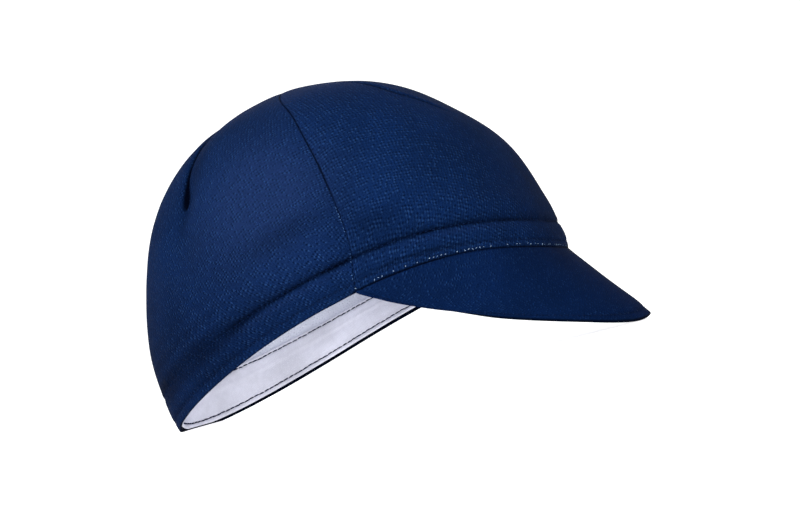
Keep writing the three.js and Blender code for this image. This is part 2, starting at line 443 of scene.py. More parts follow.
def make_mesh(name, points, faces, uv, material):
    """A smooth mesh; uv holds the cloth coordinates of its points, or None."""
    mesh = bpy.data.meshes.new(name)
    mesh.from_pydata(points.reshape(-1, 3).tolist(), [], faces.tolist())
    if uv is not None:
        layer = mesh.uv_layers.new(name="cloth")
        loops = np.zeros(len(mesh.loops), np.int32)
        mesh.loops.foreach_get("vertex_index", loops)
        layer.data.foreach_set("uv", uv.reshape(-1, 2)[loops].astype(np.float32).ravel())
    mesh.shade_smooth()
    mesh.validate()
    mesh.materials.append(material)
    return add_object(name, mesh)


def grid_faces(rows, columns, around=False, flip=False):
    r = np.arange(rows - 1)[:, None]
    c = np.arange(columns if around else columns - 1)[None, :]
    nxt = (c + 1) % columns
    corners = (r * columns + c, r * columns + nxt, (r + 1) * columns + nxt, (r + 1) * columns + c)
    f = np.stack(np.broadcast_arrays(*corners), -1).reshape(-1, 4)
    return f[:, ::-1] if flip else f


def paint(piece, name, values):
    layer = piece.data.attributes.new(name, "FLOAT", "POINT")
    layer.data.foreach_set("value", values.astype(np.float32).ravel())


def spread(start, end, step):
    """Even values from start to end, about a step apart."""
    n = max(int(round((end - start) / step)), 2)
    return start + (end - start) * np.linspace(0, 1, n + 1)


def walked(points):
    """Length walked along a line of points."""
    steps = np.linalg.norm(np.diff(points, axis=0), axis=-1)
    return np.concatenate([[0], np.cumsum(steps)])


# Materials

def node_tree(name):
    material = bpy.data.materials.new(name)
    material.use_nodes = True
    tree = material.node_tree
    for n in list(tree.nodes):
        tree.nodes.remove(n)
    output = tree.nodes.new("ShaderNodeOutputMaterial")
    shader = tree.nodes.new("ShaderNodeBsdfPrincipled")
    tree.links.new(shader.outputs["BSDF"], output.inputs["Surface"])
    return material, tree, shader


def math_node(tree, operation, a, b=None, c=None):
    node = tree.nodes.new("ShaderNodeMath")
    node.operation = operation
    for socket, value in zip(node.inputs, (a, b, c)):
        if value is None:
            continue
        if isinstance(value, (int, float)):
            socket.default_value = value
        else:
            tree.links.new(value, socket)
    return node.outputs[0]


def multiply(tree, a, b):
    return math_node(tree, "MULTIPLY", a, b)


def add(tree, a, b):
    return math_node(tree, "ADD", a, b)


def ramp(tree, value, low, high, out_low=0.0, out_high=1.0):
    node = tree.nodes.new("ShaderNodeMapRange")
    node.interpolation_type = "SMOOTHSTEP"
    tree.links.new(value, node.inputs["Value"])
    node.inputs["From Min"].default_value = low
    node.inputs["From Max"].default_value = high
    node.inputs["To Min"].default_value = out_low
    node.inputs["To Max"].default_value = out_high
    return node.outputs["Result"]


def mix_colour(tree, factor, a, b):
    node = tree.nodes.new("ShaderNodeMix")
    node.data_type = "RGBA"
    for socket, value in ((node.inputs[0], factor), (node.inputs[6], a), (node.inputs[7], b)):
        if isinstance(value, tuple):
            socket.default_value = (*value, 1.0)
        else:
            tree.links.new(value, socket)
    return node.outputs[2]


def scaled(colour, *factors):
    """A colour times one factor, or times a factor for each channel."""
    if len(factors) == 1:
        factors = factors * 3
    return tuple(x * k for x, k in zip(colour, factors))


def noise(tree, vector, scale, detail=2.0, roughness=0.5, output="Fac"):
    node = tree.nodes.new("ShaderNodeTexNoise")
    node.inputs["Scale"].default_value = scale
    node.inputs["Detail"].default_value = detail
    node.inputs["Roughness"].default_value = roughness
    tree.links.new(vector, node.inputs["Vector"])
    return node.outputs[output]


def painted(tree, name):
    node = tree.nodes.new("ShaderNodeAttribute")
    node.attribute_name = name
    return node.outputs["Fac"]


def link_bump(tree, shader, height, strength, distance):
    node = tree.nodes.new("ShaderNodeBump")
    node.inputs["Strength"].default_value = strength
    node.inputs["Distance"].default_value = distance
    tree.links.new(height, node.inputs["Height"])
    tree.links.new(node.outputs["Normal"], shader.inputs["Normal"])


def faint_shine(shader, ior):
    """Yarn reflects little, and what it reflects is bluish."""
    shader.inputs["IOR"].default_value = ior
    shader.inputs["Specular IOR Level"].default_value = 0.2
    shader.inputs["Specular Tint"].default_value = (0.4, 0.6, 1.0, 1.0)


# How far a loop of the knit strays from its place, as a share of its cell
LOOP_STRAY = 0.16


def cell(tree, value, size, offset):
    """Distance from the middle of the nearest cell along one axis, and the cell's number."""
    count = math_node(tree, "MULTIPLY_ADD", value, 1.0 / size, offset)
    part = math_node(tree, "SUBTRACT", math_node(tree, "FRACT", count), 0.5)
    return multiply(tree, part, size), math_node(tree, "FLOOR", count)


def strayed(tree, distance, chance, size):
    shift = math_node(tree, "MULTIPLY_ADD", chance, 2 * LOOP_STRAY * size, -LOOP_STRAY * size)
    return add(tree, distance, shift)


def dots(tree, u, v, wide, high, shift_u=0.0):
    """Distance in mm to the nearest dot of a staggered lattice, and a random value of that dot."""
    both = []
    for half_step in (0.0, 0.5):
        du, iu = cell(tree, u, wide, shift_u + half_step)
        dv, iv = cell(tree, v, high, half_step)
        index = tree.nodes.new("ShaderNodeCombineXYZ")
        tree.links.new(iu, index.inputs[0])
        tree.links.new(iv, index.inputs[1])
        index.inputs[2].default_value = half_step * 7 + 1
        white = tree.nodes.new("ShaderNodeTexWhiteNoise")
        tree.links.new(index.outputs[0], white.inputs["Vector"])
        stray = tree.nodes.new("ShaderNodeSeparateColor")
        tree.links.new(white.outputs["Color"], stray.inputs[0])
        du = strayed(tree, du, stray.outputs[0], wide)
        dv = strayed(tree, dv, stray.outputs[1], high)
        square = add(tree, multiply(tree, du, du), multiply(tree, dv, dv))
        both.append((square, white.outputs["Value"]))
    (a, chance_a), (b, chance_b) = both
    nearest = math_node(tree, "SQRT", math_node(tree, "MINIMUM", a, b))
    first = math_node(tree, "LESS_THAN", a, b)
    second = math_node(tree, "SUBTRACT", 1.0, first)
    return nearest, add(tree, multiply(tree, first, chance_a), multiply(tree, second, chance_b))


def wandering(tree, vector):
    """The cloth's coordinates u and v, pulled a little out of straight."""
    moved = tree.nodes.new("ShaderNodeVectorMath")
    moved.operation = "MULTIPLY_ADD"
    tree.links.new(noise(tree, vector, 0.13, output="Color"), moved.inputs[0])
    moved.inputs[1].default_value = (1.6, 1.6, 0)
    tree.links.new(vector, moved.inputs[2])
    split = tree.nodes.new("ShaderNodeSeparateXYZ")
    tree.links.new(moved.outputs[0], split.inputs[0])
    return split.outputs[0], split.outputs[1]


def cloth_material(name, dark, base, light, wide, high, hole, speck, bump_mm, sheen,
                   roughness=0.88, contrast=1.0):
    """Knitted cloth: staggered gaps painted dark as shade, loops between them with painted highlights, fine
    yarn and soft unevenness.

    wide and high are the size of a cell of the knit and hole the radius of a gap, in mm;
    speck is the share of the loops that get a painted highlight.
    """
    material, tree, shader = node_tree(name)
    place = tree.nodes.new("ShaderNodeUVMap")
    place.uv_map = "cloth"
    vector = place.outputs["UV"]
    u, v = wandering(tree, vector)
    yarn = noise(tree, vector, scale=2.6, detail=3.0, roughness=0.7)
    patch = noise(tree, vector, scale=0.32, detail=3.0, roughness=0.6)
    broad = noise(tree, vector, scale=0.030)

    # Painted shade in the knit's gaps and painted highlights on the loops between them.
    to_gap, gap_chance = dots(tree, u, v, wide, high)
    pit = ramp(tree, to_gap, hole * 0.30, hole, 1.0, 0.0)
    pit_shade = multiply(tree, pit, ramp(tree, gap_chance, 0.15, 0.85, 0.0, 0.75))
    to_loop, loop_chance = dots(tree, u, v, wide, high, 0.5)
    loop = ramp(tree, to_loop, wide * 0.12, wide * 0.34, 1.0, 0.0)
    lucky = math_node(tree, "POWER", ramp(tree, loop_chance, 1 - speck, 1.0), 1.4)
    loop_highlight = multiply(tree, loop, lucky)
    loop_highlight = multiply(tree, loop_highlight, ramp(tree, yarn, 0.30, 0.60, 0.25, 1.0))
    loop_highlight = multiply(tree, loop_highlight, ramp(tree, patch, 0.30, 0.65, 0.40, 0.85))

    low_tone = scaled(base, 1 - 0.20 * contrast)
    high_tone = scaled(base, 1 + 0.16 * contrast)
    painted_light_tone = scaled(base, 4.2, 1.75, 1.40)
    tone = mix_colour(tree, ramp(tree, broad, 0.32, 0.68), low_tone, high_tone)
    # Painted light: the cloth is painted paler where light falls and as sheen.
    tone = mix_colour(tree, painted(tree, "paler"), tone, painted_light_tone)
    tone = mix_colour(tree, ramp(tree, patch, 0.30, 0.70, 0.22 * contrast, 0.0), tone, dark)
    tone = mix_colour(tree, ramp(tree, yarn, 0.42, 0.75, 0.0, 0.34 * contrast), tone, light)
    tone = mix_colour(tree, pit_shade, tone, dark)
    tone = mix_colour(tree, loop_highlight, tone, light)
    # Painted shade: darker in the folds, groove, seams, dart, rolled hem and on the peak's hidden and
    # downward parts.
    tone = mix_colour(tree, painted(tree, "painted_shade"), tone, scaled(dark, 0.25))
    tree.links.new(tone, shader.inputs["Base Color"])

    rough = ramp(tree, yarn, 0.2, 0.8, roughness - 0.06, min(roughness + 0.06, 1.0))
    tree.links.new(rough, shader.inputs["Roughness"])
    height = math_node(tree, "SUBTRACT", multiply(tree, yarn, 0.35), pit)
    height = add(tree, height, multiply(tree, loop, 0.45))
    link_bump(tree, shader, height, 0.7, bump_mm * MM)
    faint_shine(shader, 1.10)
    shader.inputs["Sheen Weight"].default_value = sheen
    shader.inputs["Sheen Roughness"].default_value = 0.45
    shader.inputs["Sheen Tint"].default_value = (0.45, 0.5, 0.9, 1.0)
    return material


def thread_material(name, colour, paler):
    """Twisted thread, paler on the crests of its twist."""
    material, tree, shader = node_tree(name)
    place = tree.nodes.new("ShaderNodeTexCoord")
    twist = tree.nodes.new("ShaderNodeTexWave")
    twist.bands_direction = "DIAGONAL"
    twist.inputs["Scale"].default_value = 900
    twist.inputs["Distortion"].default_value = 2.5
    tree.links.new(place.outputs["Object"], twist.inputs["Vector"])
    tone = mix_colour(tree, ramp(tree, twist.outputs["Fac"], 0.2, 0.8), colour, paler)
    tree.links.new(tone, shader.inputs["Base Color"])
    shader.inputs["Roughness"].default_value = 0.7
    link_bump(tree, shader, twist.outputs["Fac"], 0.5, 0.1 * MM)
    faint_shine(shader, 1.15)
    return material


crown_cloth = cloth_material(
    "crown_mesh_knit", dark=(0.0003, 0.0020, 0.0105), base=(0.0011, 0.0066, 0.0315),
    light=(0.0100, 0.0310, 0.0930), wide=1.75, high=2.3, hole=0.58, speck=0.90, bump_mm=0.35, sheen=0.004)
peak_cloth = cloth_material(
    "peak_fine_knit", dark=(0.0004, 0.0026, 0.0120), base=(0.0008, 0.0049, 0.0250),
    light=(0.0060, 0.0200, 0.0660), wide=1.30, high=1.6, hole=0.38, speck=0.65, bump_mm=0.14, sheen=0.003)
light_cloth = cloth_material(
    "sweatband_brushed_cloth", dark=(0.42, 0.42, 0.48), base=(0.70, 0.70, 0.78), light=(0.82, 0.82, 0.89),
    wide=0.9, high=1.2, hole=0.14, speck=0.5, bump_mm=0.12, sheen=0.05, roughness=0.92, contrast=0.8)
lining_cloth = cloth_material(
    "crown_reverse_knit", dark=(0.42, 0.44, 0.54), base=(0.68, 0.70, 0.79), light=(0.80, 0.82, 0.89),
    wide=1.75, high=2.3, hole=0.36, speck=0.5, bump_mm=0.2, sheen=0.05, roughness=0.9, contrast=0.5)
navy_thread = thread_material("navy_thread", (0.0010, 0.0035, 0.016), (0.0030, 0.0090, 0.036))
ink_thread = thread_material("ink_thread", (0.0020, 0.0034, 0.020), (0.006, 0.010, 0.046))
pale_thread = thread_material("pale_thread", (0.07, 0.12, 0.20), (0.24, 0.32, 0.42))
dusk_thread = thread_material("dusk_thread", (0.018, 0.050, 0.13), (0.06, 0.12, 0.24))


# Crown panels: two sheets whose edges turn in at the seams and roll in at the hem

PANEL_ROWS = np.concatenate([
    spread(0, 1.4, 0.28)[:-1],
    spread(1.4, 10.5, 0.30)[:-1],
    spread(10.5, 30, 0.65)[:-1],
    spread(30, 80, 0.85)[:-1],
    spread(80, 89.9, 0.9),
])
FRONT_COLUMNS = 130
SIDE_COLUMNS = 76
BACK_COLUMNS = 84
FINE_COLUMNS = 9
FINE_STEP = 0.22
FRONT_MIDDLE = (0, 38)
BACK_MIDDLE = (127, 36)
EDGE_TURN = 1.3
HEM_ROLL = [
    # depth inside the face, height against the hem, painted shade
    (1.45, 0.2, 0.9),
    (1.3, -0.4, 0.9),
    (0.95, -0.75, 0.85),
    (0.55, -0.75, 0.7),
    (0.2, -0.45, 0.4),
]
ROLL_END_UP = 1.4
ROLL_END_DEPTH = 1.5
ROLL_END_SHADE = 0.9
ROLL_END_UV = 4.0
ROLL_STEP_UV = 0.6
PANEL_CLEARANCE = 0.00005


def turned_in(distance, up):
    """How deep a panel's edge turns in at a distance in mm from the seam."""
    width = 0.75 - 0.3 * smooth(up, 25, 45)
    depth = EDGE_TURN * (0.4 + 0.6 * smooth(up, 14, 28))
    x = np.clip(1 - distance / width, 0, 1)
    return depth * (1 - np.sqrt(np.maximum(1 - x * x, 0)))


def near_half(rnd):
    """The same angle mirrored onto one half of the crown."""
    return np.where(rnd > 180, 360 - rnd, rnd)


def between(start, end, columns, fine_start, fine_end):
    """Values from start to end, with closer columns at the ends that ask for it."""
    w = np.ones(columns)
    if fine_start:
        w[:FINE_COLUMNS] = FINE_STEP
    if fine_end:
        w[-FINE_COLUMNS:] = FINE_STEP
    x = np.concatenate([[0], np.cumsum(w)])
    return start + (end - start) * x / x[-1]


def front_columns(up):
    """Angles round of a row of the front panel, from seam to seam."""
    edge = float(seam_round(up))
    return np.concatenate([
        between(-edge, 0, FRONT_COLUMNS, True, False)[:-1],
        between(0, edge, FRONT_COLUMNS, False, True),
    ])


def back_columns(up):
    """Angles round of a row of the back panel, from seam to dart to dart to seam."""
    edge = float(seam_round(up))
    dart = float(dart_round(up)) + DART_SHIFT
    return np.concatenate([
        between(edge, dart, SIDE_COLUMNS, True, True)[:-1],
        between(dart, 180, BACK_COLUMNS, True, False)[:-1],
        between(180, 360 - dart, BACK_COLUMNS, False, True)[:-1],
        between(360 - dart, 360 - edge, SIDE_COLUMNS, True, True),
    ])


def panel(name, columns, uv_round, middle):
    """A panel; columns(up) gives the angles round of a row, uv_round the angles for the cloth."""
    rnd = np.stack([columns(u) for u in PANEL_ROWS])
    up = PANEL_ROWS[:, None] + 0 * rnd
    gaps = np.linalg.norm(np.diff(crown_base(rnd, up), axis=1), axis=-1)
    from_start = np.concatenate([np.zeros((len(gaps), 1)), np.cumsum(gaps, 1)], 1)
    from_edge = np.minimum(from_start, from_start[:, -1:] - from_start)
    face = crown_point(rnd, up, turned_in(from_edge, up))

    hem = rnd[:1]
    hang = 0.9 - 0.6 * smooth(np.abs(turn(hem)), 85, 135)
    roll = [crown_point(hem, ROLL_END_UP, ROLL_END_DEPTH)]
    for depth, height, _ in HEM_ROLL:
        roll.append(crown_point(hem, 0.0, depth) + np.stack([0 * hang, 0 * hang, height * hang], -1))
    points = stand(np.concatenate([*roll, face]))
    points[..., 2] = np.maximum(points[..., 2], PANEL_CLEARANCE)

    uv = flat_uv(uv_round(rnd), up, *middle)
    roll_uv = [uv[:1] - np.array([0, ROLL_END_UV - ROLL_STEP_UV * i]) for i in range(len(roll))]
    uv = np.concatenate([*roll_uv, uv])
    piece = make_mesh(name, points, grid_faces(*points.shape[:2]), uv, crown_cloth)

    # Painted shade in the folds and under the rolled hem; painted light where light falls and as sheen.
    shade = crease_shade(rnd, up)
    roll_shade = np.array([ROLL_END_SHADE] + [darkness for _, _, darkness in HEM_ROLL])
    paint(piece, "painted_shade", np.concatenate([np.maximum(shade[:1], roll_shade[:, None]), shade]))
    paint(piece, "paler", np.concatenate([np.zeros((len(roll), rnd.shape[1])), lit_patch(rnd, up)]))
    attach(piece, "root")
    return piece


crown_front = panel("crown_front", front_columns, turn, FRONT_MIDDLE)
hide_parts("front_panel")
crown_back = panel("crown_back", back_columns, near_half, BACK_MIDDLE)
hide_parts("back_panel")


# Reverse of the crown's cloth, pale, seen through the opening

LINING_DEPTH = 1.5
LINING_FOLDS = 0.6
LINING_COLUMNS = 240
LINING_MIDDLE = (90, 38)
lining_rows = np.concatenate([spread(7, 80, 1.6)[:-1], spread(80, 89.9, 1.6)])
lining_round, lining_up = np.meshgrid(np.linspace(0, 360, LINING_COLUMNS + 1)[:-1], lining_rows)
crown_lining = make_mesh(
    "crown_lining", stand(crown_point(lining_round, lining_up, LINING_DEPTH, LINING_FOLDS)),
    grid_faces(*lining_round.shape, around=True, flip=True),
    flat_uv(near_half(lining_round), lining_up, *LINING_MIDDLE), lining_cloth)
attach(crown_lining, "root")


# Sweatband: a folded strip inside the hem

SWEATBAND_DEPTH = 1.6
SWEATBAND_GAP = 0.1
SWEATBAND_FOLDS = 0.3
FLANGE_ROOM = 1.2
SWEATBAND_WALL = 1.15
SWEATBAND_COLUMNS = 560
SWEATBAND_CLEARANCE = 0.0007
STITCH_DIP = 0.45
STITCH_DIP_SPREAD = 0.55
LOWER_STITCHES = 3.0
UPPER_STITCHES = 20.9
LUMP_WAVES = (9, 14, 23, 31)
FACE_LOW = 0.7
FACE_HIGH = 20.6
FACE_STEP = 0.55
LOWER_EDGE = [
    # height above the hem, depth
    (1.4, -0.05),
    (0.6, 0.3),
]
UPPER_EDGE = [
    # height above the hem, depth
    (21.5, 1.2),
    (22.3, 1.1),
    (SWEATBAND_TOP, 0.7),
    (22.4, 0.2),
    (21.4, 0.0),
]


def band_depth(rnd):
    """Depth of the sweatband's back face, more where the peak's flange lies behind it."""
    beyond_peak = smooth(np.abs(turn(rnd)), PEAK_HALF_ANGLE + 2, PEAK_HALF_ANGLE + 14)
    return SWEATBAND_DEPTH + FLANGE_ROOM * (1 - beyond_peak)


def band_rise(rnd, height):
    """How far the lower edge is lifted at the back, where the cap stands on its hem."""
    return 0.35 * smooth(np.abs(turn(rnd)), 105, 140) * (1 - smooth(height, 1.5, 5.0))


def band_row(rnd, height, extra):
    """Points of the sweatband round the hem; it bridges the crown's folds and is a little lumpy."""
    rnd, up = floats(rnd, up_at(height))
    base = crown_base(rnd, up)
    strip_place = np.stack([rnd * 1.6, 0 * rnd + height * 1.4, 0 * rnd], -1)
    lumps = 0.16 * ripple(strip_place, LUMP_WAVES, seed=12)
    shift = SWEATBAND_FOLDS * (relief(rnd, up) + fine_relief(rnd, up, base))
    shift = shift - SWEATBAND_GAP - band_depth(rnd) - extra - lumps
    points = base + crown_normal(rnd, up) * shift[..., None]
    points[:, 2] += band_rise(rnd, height)
    return points


def sweatband_section():
    """Section from the folded lower edge up the face and over the top, as height and depth."""
    heights = spread(FACE_LOW, FACE_HIGH, FACE_STEP)
    dips = STITCH_DIP * bump(heights - LOWER_STITCHES, STITCH_DIP_SPREAD)
    dips = dips + STITCH_DIP * bump(heights - UPPER_STITCHES, STITCH_DIP_SPREAD)
    face = [(height, SWEATBAND_WALL - dip) for height, dip in zip(heights, dips)]
    return LOWER_EDGE + face + UPPER_EDGE


section = sweatband_section()
band_round = np.linspace(0, 360, SWEATBAND_COLUMNS + 1)[:-1]
band_points = stand(np.stack([band_row(band_round, height, extra) for height, extra in section]))
band_points[..., 2] = np.maximum(band_points[..., 2], SWEATBAND_CLEARANCE)
band_uv = np.stack(np.meshgrid(walked(crown_base(band_round, 5.0)), [height for height, _ in section]), -1)
sweatband = make_mesh(
    "sweatband_strip", band_points, grid_faces(*band_points.shape[:2], around=True, flip=True),
    band_uv, light_cloth)
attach(sweatband, "root")
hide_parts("sweatband")


# Peak: cloth over a thin curved board with a rounded stitched edge

PEAK_COLUMNS = 221
BOARD_SINK = 0.1
EDGE_STITCH_INSET = 2.6
PEAK_CLEARANCE = 0.0001
BOARD_WAVES = (34, 26, 43)
FLANGE_FOLDS = 0.3
UPPER_FLANGE = [
    # angle up, depth
    (3.2, 2.0),
    (1.5, 1.75),
    (0.4, 1.4),
]
LOWER_FLANGE = [
    # angle up, depth
    (1.0, 2.6),
    (2.4, 2.8),
]

front_hem = crown_base(0.0, 0.0)
corner_hem = crown_base(PEAK_HALF_ANGLE, 0.0)
slope = math.tan(PEAK_SLOPE * deg)
drop = slope * (corner_hem[1] - front_hem[1]) - (corner_hem[2] - front_hem[2])
curl = drop / corner_hem[0] ** 2


def board_height(x, y):
    return front_hem[2] - slope * (front_hem[1] - y) - curl * x * x


def board_point(t, r):
    """Point of the peak: t from -1 to 1 along the hem, r from 0 at the hem to 1 at the edge."""
    t, r = floats(t, r)
    inner = crown_base(t * PEAK_HALF_ANGLE, 0.0)
    tau = t * 90 * 0.999 * deg
    edge_x = corner_hem[0] * power(np.sin(tau), PEAK_SQUARENESS)
    edge_y = corner_hem[1] + (front_hem[1] - PEAK_REACH - corner_hem[1]) * np.cos(tau) ** PEAK_TAPER
    x = inner[..., 0] * (1 - r) + edge_x * r
    y = inner[..., 1] * (1 - r) + edge_y * r
    rest = inner[..., 2] - board_height(inner[..., 0], inner[..., 1])
    z = board_height(x, y) + rest * (1 - r) ** 2 - PEAK_CORNER * r * smooth(np.abs(t), 0.86, 1)
    return np.stack([x, y, z], -1)


def board_normal(t, r):
    h = 0.004
    t = np.clip(t, -0.985, 0.985)
    r = np.clip(r, h, 1 - h)
    across = board_point(t + h, r) - board_point(t - h, r)
    out = board_point(t, r + h) - board_point(t, r - h)
    return unit(np.cross(out, across))


def board_width(t):
    return np.linalg.norm(board_point(t, 1.0) - board_point(t, 0.0), axis=-1)


def lip(t, r):
    """The board rises a little towards the front and bends down close to its edge."""
    rise = 1.5 * r ** 1.5 * smooth(1 - np.abs(t), 0.1, 0.5)
    return rise - 2.2 * smooth(r, 0.80, 1.02) ** 1.4 * bump(t + 0.10, 0.22)


def board_cloth(t, r, depth):
    """Point of the cloth at a depth under the board's face, with the board's own bend."""
    inner_r = r * (1 - pull_back)
    points = board_point(t, inner_r) - board_normal(t, inner_r) * depth[:, None]
    points[:, 2] += lip(t, r)
    return points


ts = np.sin(np.linspace(-90, 90, PEAK_COLUMNS) * deg) * 0.35 + np.linspace(-1, 1, PEAK_COLUMNS) * 0.65
width = board_width(ts)
along_peak = walked(board_point(ts, 0.6))
thin = PEAK_THICKNESS / 2 * 0.75 * np.clip(width / 7, 0.35, 1)
trim = 0.2 + 1.3 * smooth(np.abs(ts), 0.10, 0.40) * smooth(1 - np.abs(ts), 0.0, 0.15)
pull_back = np.clip((thin + trim) / np.maximum(width, 0.5), 0, 0.5)
outward = unit(board_point(ts, 1.0) - board_point(ts, 0.97))

peak_rows = []


def add_peak_row(points, r, shift, shade):
    """A row of the peak's cloth, with its cloth coordinates and its painted shade."""
    peak_rows.append((points, np.stack([along_peak, r * width + shift], -1), shade + 0 * ts))


def add_flange(table, shade):
    for up, depth in table:
        points = crown_point(ts * PEAK_HALF_ANGLE, up, depth, FLANGE_FOLDS)
        add_peak_row(points, 0.0, up + 1, shade)


# Painted shade: the hidden flanges are dark, the board darker along the hem seam and at the edge stitches,
# the rounded rim dark but for its top, and the underside darker, most near the edge.
add_flange(UPPER_FLANGE, 0.9)
for r in np.concatenate([[0.006], spread(0.02, 1, 0.02)]):
    from_edge = (1 - r) * width - EDGE_STITCH_INSET
    soft = 0.12 * ripple(board_point(ts, r * (1 - pull_back)), BOARD_WAVES, seed=21)
    depth = BOARD_SINK + 0.28 * bump(from_edge, 0.5) - soft
    shade = 0.65 * bump(r * width, 0.32) + 0.25 * bump(from_edge, 0.4)
    add_peak_row(board_cloth(ts, r, depth), r * (1 - pull_back), 0, shade)
edge_normal = board_normal(ts, 1 - pull_back)
edge_middle = board_cloth(ts, 1.0, BOARD_SINK + thin)
for angle in (70, 50, 30, 10, -10, -30, -50, -70):
    c = math.cos(angle * deg)
    s = math.sin(angle * deg)
    points = edge_middle + outward * (thin * c)[:, None] + edge_normal * (thin * s)[:, None]
    add_peak_row(points, 1.0, -(90 - angle) / 70, 0.9 * np.clip((95 - angle) / 50, 0, 1))
for r in spread(0.0, 1, 0.04)[::-1]:
    opened = smooth(r, 0.0, 0.06)
    depth = BOARD_SINK + 2 * thin * opened + 0.8 * (1 - opened)
    add_peak_row(board_cloth(ts, r, depth), r * (1 - pull_back), 0, 0.35 + 0.45 * smooth(r, 0.9, 1.0))
add_flange(LOWER_FLANGE, 0.5)

peak_points = stand(np.stack([points for points, _, _ in peak_rows]))
peak_points[..., 2] = np.maximum(peak_points[..., 2], PEAK_CLEARANCE)
peak = make_mesh("peak_board", peak_points, grid_faces(*peak_points.shape[:2]),
                 np.stack([uv for _, uv, _ in peak_rows]), peak_cloth)
paint(peak, "painted_shade", np.stack([shade for _, _, shade in peak_rows]))
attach(peak, "root")
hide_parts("peak")


# Stitches: short rounded pieces of thread laid along a line on the cloth

THREAD_SIDES = 6
THREAD_RINGS = [
    # share of the length, share of the radius
    (0.0, 0.25),
    (0.15, 0.8),
    (0.5, 1.0),
    (0.85, 0.8),
    (1.0, 0.25),
]
THREAD_SINK = 0.2
LINE_STEPS = 1441
PEAK_LINE_STEPS = 601
SEAM_LINE_STEPS = 160

# Depth in mm of each line of stitches inside the face that it is sewn on
CROWN_STITCH_DEPTH = -0.02
SWEATBAND_STITCH_DEPTH = 0.88
SEAM_STITCH_DEPTH = 0.12
EDGE_STITCH_DEPTH = 0.3

# Where lines of stitches run: angles up, an angle beside the seam, and a share of the peak
PEAK_SEAM_UP = 0.55
SEAM_STITCHES_UP = (2.5, 22)
SEAM_STITCH_SHIFT = 0.35
EDGE_STITCH_REACH = 0.93


def thread_faces(count):
    """Faces of count threads, each a tube of rings with a cap at both ends."""
    sides = THREAD_SIDES
    rings = len(THREAD_RINGS)
    first = (np.arange(count) * rings * sides)[:, None, None]
    quads = grid_faces(rings, sides, around=True)
    caps = np.stack([np.arange(sides)[::-1], np.arange(sides) + (rings - 1) * sides])
    return (quads[None] + first).reshape(-1, 4).tolist() + (caps[None] + first).reshape(-1, sides).tolist()


def threads(name, starts, ends, lift, radius, material):
    """Threads from starts to ends, arched along lift; the places are in mm."""
    axis = unit(ends - starts)
    length = np.linalg.norm(ends - starts, axis=-1, keepdims=True)
    up = unit(lift - axis * np.sum(lift * axis, -1, keepdims=True))
    side = np.cross(axis, up)
    points = []
    for share, bulge in THREAD_RINGS:
        arch = 1 - (2 * share - 1) ** 2 - THREAD_SINK
        centre = starts + axis * length * share + up * radius * arch
        for k in range(THREAD_SIDES):
            w = 2 * math.pi * k / THREAD_SIDES
            points.append(centre + (side * math.cos(w) + up * math.sin(w)) * radius * bulge)
    points = np.stack(points, 1).reshape(-1, 3) * MM
    mesh = bpy.data.meshes.new(name)
    mesh.from_pydata(points.tolist(), [], thread_faces(len(starts)))
    mesh.shade_smooth()
    mesh.materials.append(material)
    piece = add_object(name, mesh)
    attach(piece, "root")


def stitch_line(name, line, normal, material, pitch, share, radius, seed,
                stray=0.0, across=0.0, keep=1.0):
    """Stitches along a line of points on the level shape, with the cloth's normals there.

    pitch and radius are in mm and share is the stitch's part of the pitch; stray is how far the
    ends wander, across how far they zigzag, and keep the share of the stitches that show.
    """
    line = placed(line)
    normal = turned(normal)
    walk = walked(line)
    count = int(walk[-1] / pitch)
    rng = np.random.default_rng(seed)
    start = (np.arange(count) + rng.uniform(-0.06, 0.06, count)) * pitch + 0.3
    end = start + pitch * share * rng.uniform(0.9, 1.1, count)
    end = np.minimum(end, walk[-1])

    def at(x, what):
        return np.stack([np.interp(x, walk, what[:, k]) for k in range(3)], -1)

    a = at(start, line)
    b = at(end, line)
    n = unit(at((start + end) / 2, normal))
    sideways = unit(np.cross(n, b - a))
    wander = rng.uniform(-stray, stray, (2, count, 1))
    zigzag = across * np.where(np.arange(count) % 2 == 0, 1, -1)[:, None]
    a = a + sideways * (wander[0] + zigzag)
    b = b + sideways * (wander[1] - zigzag)
    kept = rng.uniform(0, 1, count) < keep
    threads(name, a[kept], b[kept], n[kept], radius, material)


all_round = np.linspace(0, 360, LINE_STEPS)
stitch_line("band_top_stitches", crown_point(all_round, BAND_TOP, CROWN_STITCH_DEPTH),
            crown_normal(all_round, BAND_TOP), navy_thread,
            pitch=2.6, share=0.62, radius=0.22, seed=2, stray=0.08)
stitch_line("hem_stitches", crown_point(all_round, HEM_LINE_UP, CROWN_STITCH_DEPTH),
            crown_normal(all_round, HEM_LINE_UP), navy_thread,
            pitch=2.6, share=0.62, radius=0.2, seed=3, stray=0.08)

for name, height, seed in (("sweatband_lower_stitches", LOWER_STITCHES, 4),
                           ("sweatband_upper_stitches", UPPER_STITCHES, 5)):
    stitch_line(name, band_row(all_round, height, SWEATBAND_STITCH_DEPTH),
                -crown_normal(all_round, up_at(height)), ink_thread,
                pitch=2.9, share=1.06, radius=0.34, seed=seed, stray=0.2)

peak_round = np.linspace(-PEAK_HALF_ANGLE, PEAK_HALF_ANGLE, PEAK_LINE_STEPS)
stitch_line("peak_seam_stitches", crown_point(peak_round, PEAK_SEAM_UP, CROWN_STITCH_DEPTH),
            crown_normal(peak_round, PEAK_SEAM_UP), pale_thread,
            pitch=1.6, share=0.36, radius=0.11, seed=6, stray=0.35, across=0.12, keep=0.5)

edge_ts = np.linspace(-EDGE_STITCH_REACH, EDGE_STITCH_REACH, PEAK_LINE_STEPS)
edge_share = 1 - EDGE_STITCH_INSET / board_width(edge_ts)
edge_r = edge_share * (1 - np.interp(edge_ts, ts, pull_back))
edge_line = board_point(edge_ts, edge_r) - EDGE_STITCH_DEPTH * board_normal(edge_ts, edge_r)
edge_line[:, 2] += lip(edge_ts, edge_share)
stitch_line("peak_edge_stitches", edge_line, board_normal(edge_ts, edge_r), navy_thread,
            pitch=2.5, share=0.6, radius=0.2, seed=7, stray=0.06)

